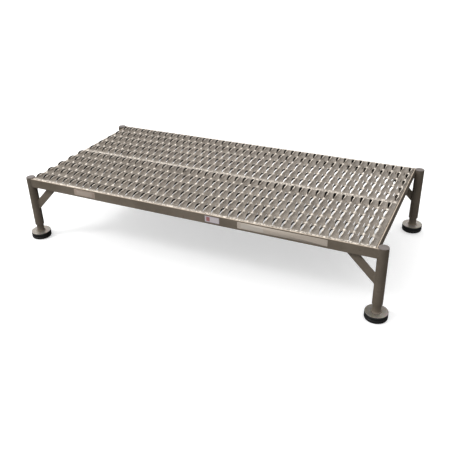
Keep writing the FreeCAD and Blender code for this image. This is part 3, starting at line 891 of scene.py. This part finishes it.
@dataclass
class TelescopingLeg:
    """A leg: its tube, welded foot plate, moulded pad, screw, and spring with its button."""

    corner: Corner
    finishes: Finishes
    sides: int = 96
    plate_radius: float = 34.9 * MM
    plate_bore: float = 4.1 * MM
    plate_edge: float = 0.8 * MM
    heat_reach: float = 11.0 * MM
    ring_bead: float = 1.9 * MM
    flutes: int = 48
    flute_depth: float = 0.35 * MM
    screw_room: float = 8.5 * MM
    screw_seat: float = 12.0 * MM
    spring_gauge: float = 0.9 * MM
    spring_half_width: float = 3.5 * MM
    spring_nose: float = 1.3 * MM
    spring_arm: float = 15.4 * MM
    button_radius: float = 3.7 * MM
    button_drop: float = 7.4 * MM
    dome: float = 2.4 * MM

    def __post_init__(self) -> None:
        """Reads the leg's axis and its plate from their nodes."""
        low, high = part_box(self.corner.node("leg_tube"))
        self.axis, self.tube_radius = (low + high) / 2, (high.x - low.x) / 2
        self.foot = Vector((self.axis.x, self.axis.y, 0))
        self.plate_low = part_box(self.corner.node("rubber_pad"))[1].z
        self.plate_top = low.z

    def plate(self) -> Piece:
        """The foot plate: a disc with softened edges, browned round the tube."""
        radius, bore, edge = self.plate_radius, self.plate_bore, self.plate_edge
        top, under = self.plate_top, self.plate_low
        outline = rounded([(bore, top), (bore, under + 0.01 * MM), (radius - edge, under + 0.01 * MM),
                           (radius, under + edge), (radius, top - edge), (radius - edge, top),
                           (self.tube_radius * 2.1, top), (self.tube_radius * 1.5, top), (bore, top)],
                          0.5 * MM, 3)
        points, faces = turned(outline, self.sides, self.foot)
        away = np.hypot(points[:, 0] - self.foot.x, points[:, 1] - self.foot.y)
        near = np.clip(1 - (away - self.tube_radius) / self.heat_reach, 0, 1)
        piece = new_piece(self.corner.node("welded_plate"), points, faces, self.finishes.zinc, wear_and_light=near)
        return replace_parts(piece, self.corner.node("foot_plate"))

    def ring_weld(self) -> Piece:
        """The bead round the tube's foot, a ring whose radius follows its ripples."""
        angle = np.arange(240) / 240 * 2 * math.pi
        reach = self.tube_radius + 0.9 * MM
        path = np.stack([self.foot.x + reach * np.cos(angle), self.foot.y + reach * np.sin(angle),
                         np.full(len(angle), self.plate_top + 0.6 * MM)], axis=-1)
        ripple = 1 + 0.13 * np.cos(angle * 34) + 0.08 * np.sin(angle * 5)
        up = np.array((0.0, 0.0, 1.0))
        points, faces = swept(path, up, circle(self.ring_bead, 10), ripple, loop=True)
        piece = new_piece(self.corner.node("tube_weld"), points, faces, self.finishes.weld)
        return piece

    def pad(self) -> Piece:
        """The rubber pad: two ribs, a groove between them, flutes on its side and rings below."""
        low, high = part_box(self.corner.node("rubber_pad"))
        top = high.z - low.z
        rib = (high.x - low.x) / 2
        waist = rib - 1.3 * MM
        ring = ((0, 0), (0.6, 1.1), (1.6, 1.1), (2.2, 0))
        sole = [(0, 0)] + [(start + step, dip) for start in (3, 9, 15) for step, dip in ring]
        sole = [(rib - 3.3 * MM - reach * MM, dip * MM) for reach, dip in sole]
        outline = [(0, self.screw_seat), (self.screw_room, self.screw_seat), (self.screw_room, 0)]
        outline += sole[::-1] + [
            (waist, 1.6 * MM), (rib, 4.5 * MM), (rib, 9.0 * MM), (waist, 10.4 * MM), (waist, 11.6 * MM),
            (rib, 13.0 * MM), (rib, 17.4 * MM), (rib - 0.6 * MM, 19.2 * MM), (waist - 0.3 * MM, top),
            (0, top)]

        def grooves(level: Array, angle: Array) -> Array:
            """Depth of the flutes, a cosine round the pad that fades out above and below each rib."""
            ribs = ((15.2 * MM, 1.9 * MM), (6.6 * MM, 2.0 * MM))
            on_ribs = sum(np.exp(-((level - centre) / reach) ** 4) for centre, reach in ribs)
            return self.flute_depth * on_ribs * (0.5 + 0.5 * np.cos(angle * self.flutes))

        points, faces = turned(rounded(outline, 0.7 * MM, 3), self.flutes * 6, self.foot, grooves)
        piece = new_piece(self.corner.node("moulded_pad"), points, faces, self.finishes.rubber)
        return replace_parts(piece, self.corner.node("rubber_pad"))

    def spring(self) -> Piece:
        """The spring: a strip bent to a narrow V, both arms against the bore of the tube."""
        low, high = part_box(self.corner.node("button_clip"))
        wall = self.axis.y - low.y - self.spring_gauge / 2
        nose, tip = self.spring_nose, low.z + 0.5 * MM
        arm = [(wall, high.z), (wall, high.z - self.spring_arm), (nose, tip + 1.9 * MM), (nose * 0.4, tip)]
        strip = rounded(arm + [(-across, up) for across, up in arm[::-1]], 4.0 * MM, 5)
        across, up = np.array(strip).T
        path = np.stack([np.full(len(across), self.axis.x), self.axis.y + across, up], axis=-1)
        half, thin = self.spring_half_width, self.spring_gauge / 2
        below = np.array([(-half, -thin / 2), (0.2 * MM - half, -thin), (half - 0.2 * MM, -thin),
                          (half, -thin / 2)])
        points, faces = swept(path, np.array((1.0, 0.0, 0.0)), np.concatenate([below, -below]))
        piece = new_piece(self.corner.node("button_spring"), points, faces, self.finishes.spring)
        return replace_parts(piece, self.corner.node("button_clip"))

    def button(self) -> Piece:
        """The button: a domed stud that comes out of the back of the tube and the post.

        At angle a up the dome, its radius is the button's times cos a to the power 0.8. It is turned
        about the upright axis and then laid along Y.
        """
        low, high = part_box(self.corner.node("button_clip"))
        level = high.z - self.button_drop
        root = self.axis.y + (self.axis.y - low.y) - self.spring_gauge
        length = high.y - root
        radius = self.button_radius
        rise = np.linspace(0, math.pi / 2, 9)
        dome = np.stack([radius * np.clip(np.cos(rise), 0, 1) ** 0.8,
                         length + self.dome * (np.sin(rise) - 1)], axis=-1)
        dome[-1, 0] = 0.0
        outline = np.concatenate([[(0, 0), (radius - 0.2 * MM, 0), (radius, 0.2 * MM)], dome])
        points, faces = turned(outline, 40, Vector((self.axis.x, level, root)))
        points = points[:, [0, 2, 1]]
        piece = new_piece(self.corner.node("snap_button"), points, faces, self.finishes.spring)
        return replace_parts(piece, self.corner.node("button_clip"))

    def build(self) -> None:
        """Dresses the leg and makes its plate, weld, pad, button and spring."""
        leg = self.corner.node("leg")
        dress(self.corner.node("leg_tube"), self.finishes.leg)
        dress(self.corner.node("pad_screw"), self.finishes.screw)
        for piece in (self.plate(), self.ring_weld(), self.pad()):
            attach(piece, leg)
            report(piece, "on the leg")
        button = self.button()
        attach(button, self.corner.node("button"))
        report(button, "moves with the button")
        spring = self.spring()
        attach(spring, leg)
        joint = self.corner.node("button_press")
        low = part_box(self.corner.node("button_clip"))[0]
        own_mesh(spring)
        report(spring, "closes with the button")


# Rails and their labels


@dataclass
class RailLabel:
    """A thin film label with round corners on the outside of the front rail."""

    film: LabelFilm
    slot: str
    corner: float = 1.5 * MM
    sides: int = 64

    def build(self) -> None:
        """Makes the label: a thin film whose outline is a rounded rectangle, closed ring by ring."""
        low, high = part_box(self.film.node)
        half = np.array([(high.x - low.x) / 2, (high.z - low.z) / 2])
        turn = circle(1.0, self.sides)
        edge = np.sign(turn) * (half - self.corner) + turn * self.corner
        rings = [(0.0, high.y), (1.0, high.y), (1.0, low.y + 0.05 * MM), (1 - 0.002, low.y), (0.0, low.y)]
        centre = (low + high) / 2
        points = [np.stack([centre.x + edge[:, 0] * size, np.full(len(edge), depth),
                            centre.z + edge[:, 1] * size], axis=-1) for size, depth in rings]
        faces = grid_faces(len(rings), len(edge), wrap_columns=True)
        piece = new_piece(f"{self.film.node}_film", np.array(points), faces, self.film.build())
        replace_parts(piece, self.film.node)
        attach(piece, ROOT_BODY)
        report(piece, "blank label")


@dataclass
class PlatformFrame:
    """The four rails of the frame and the labels on the front one."""

    finishes: Finishes
    rails: tuple[str, ...] = ("front_rail", "back_rail", "left_end_rail", "right_end_rail")

    def labels(self) -> list[RailLabel]:
        """The three labels, with nothing printed on them but plain panels."""
        return [
            RailLabel(LabelFilm("rating_label_print", "rating_label", (0.5, 0.39, 0.32), (0.62, 0.52, 0.44),
                                (0.56, 0.47, 0.4), 0.12, 0.86), "pale_label"),
            RailLabel(LabelFilm("inspection_sticker_print", "inspection_sticker", (0.74, 0.68, 0.7),
                                (0.42, 0.36, 0.4), (0.45, 0.2, 0.2), 0.1, 0.34), "sticker"),
            RailLabel(LabelFilm("safety_label_print", "safety_label", (0.62, 0.54, 0.46),
                                (0.68, 0.6, 0.52), (0.66, 0.6, 0.53), 0.04, 0.3), "cream_label"),
        ]

    def build(self) -> None:
        """Dresses the rails and makes the labels."""
        for rail in self.rails:
            dress(rail, self.finishes.rail)
        for label in self.labels():
            label.build()


# The studio


@dataclass
class Studio:
    """A pale floor, a soft sky, one large soft lamp and the camera."""

    eye: Triple = (0.8516, -1.7304, 1.0866)
    turn: Triple = (61.295, 1.454, 25.443)
    lens: float = 47.463
    sensor: float = 36.0
    floor_size: float = 60.0
    zenith: float = 1.25
    below: float = 0.02
    left_share: float = 1.3
    right_share: float = 0.6
    lamp_place: Triple = (-4.4, -3.6, 5.2)
    lamp_aim: Triple = (0.0, 0.0, 0.2)
    lamp_side: float = 1.6
    lamp_power: float = 160.0

    def floor(self) -> None:
        """A wide round floor at height zero, which sweeps up into a pale wall far away.

        It lights nothing and stops no light, so that the undersides stay dark.
        """
        reach = self.floor_size / 2
        flat = reach / 2
        sweep = rounded([(flat, 0.0), (reach, 0.0), (reach, reach)], flat, 16)
        points, faces = turned([(0.0, 0.0)] + sweep, 96, Vector((0, 0, 0)))
        floor = new_piece("studio_floor", points, faces, PaleFloor().build(), closed=False)
        floor.visible_diffuse = floor.visible_glossy = floor.visible_shadow = False

    def sky(self) -> bpy.types.World:
        """A soft sky: bright overhead and to the left, and dark below the horizon."""
        world = bpy.data.worlds.new("studio_sky")
        world.use_nodes = True
        nodes, links = world.node_tree.nodes, world.node_tree.links
        split = nodes.new("ShaderNodeSeparateXYZ")
        links.new(nodes.new("ShaderNodeTexCoord").outputs["Generated"], split.inputs["Vector"])
        strength = nodes.new("ShaderNodeMath")
        strength.operation = "MULTIPLY"
        spreads = (("Z", (-0.05, 0.35, self.below, self.zenith)),
                   ("X", (-1.0, 1.0, self.left_share, self.right_share)))
        for socket, (axis, spread) in zip(strength.inputs, spreads):
            ramp = nodes.new("ShaderNodeMapRange")
            links.new(split.outputs[axis], ramp.inputs["Value"])
            for name, number in zip(("From Min", "From Max", "To Min", "To Max"), spread):
                ramp.inputs[name].default_value = number
            links.new(ramp.outputs["Result"], socket)
        nodes["Background"].inputs["Color"].default_value = (1.0, 1.0, 1.0, 1.0)
        links.new(strength.outputs["Value"], nodes["Background"].inputs["Strength"])
        return world

    def lamp(self) -> None:
        """The lamp: a square soft light, high in front on the left."""
        light = bpy.data.lights.new("key", "AREA")
        light.shape = "SQUARE"
        light.size = self.lamp_side
        light.energy = self.lamp_power
        lamp = bpy.data.objects.new("key", light)
        lamp.location = self.lamp_place
        ray = Vector(self.lamp_aim) - Vector(self.lamp_place)
        lamp.rotation_euler = ray.to_track_quat("-Z", "Y").to_euler()
        bpy.context.scene.collection.objects.link(lamp)

    def camera(self) -> None:
        """The camera, with no depth of field and no shift."""
        data = bpy.data.cameras.new("studio_camera")
        data.sensor_width = self.sensor
        data.lens = self.lens
        data.clip_end = 200.0
        camera = bpy.data.objects.new("studio_camera", data)
        camera.location = self.eye
        camera.rotation_euler = Euler([math.radians(angle) for angle in self.turn], "XYZ")
        bpy.context.scene.collection.objects.link(camera)
        bpy.context.scene.camera = camera

    def build(self) -> None:
        """Sets the stage."""
        scene = bpy.context.scene
        scene.world = self.sky()
        scene.view_settings.view_transform = "Standard"
        self.floor()
        self.camera()
        self.lamp()
        log.info("studio: sky, floor, camera and lamp")


def main() -> None:
    """Builds the studio and then the platform, from the deck down."""
    logging.basicConfig(level=logging.INFO, format="%(message)s", force=True)
    Studio().build()
    finishes = Finishes()
    for node, shift in (("front_deck_plank", -7.0 * MM), ("back_deck_plank", 3.0 * MM)):
        GratingPlank(node, finishes.deck, finishes.shade_underside, shift).build()
    PlatformFrame(finishes).build()
    for corner in Corner:
        CornerPost(corner, finishes).build()
        TelescopingLeg(corner, finishes).build()


if __name__ == "__main__":
    main()
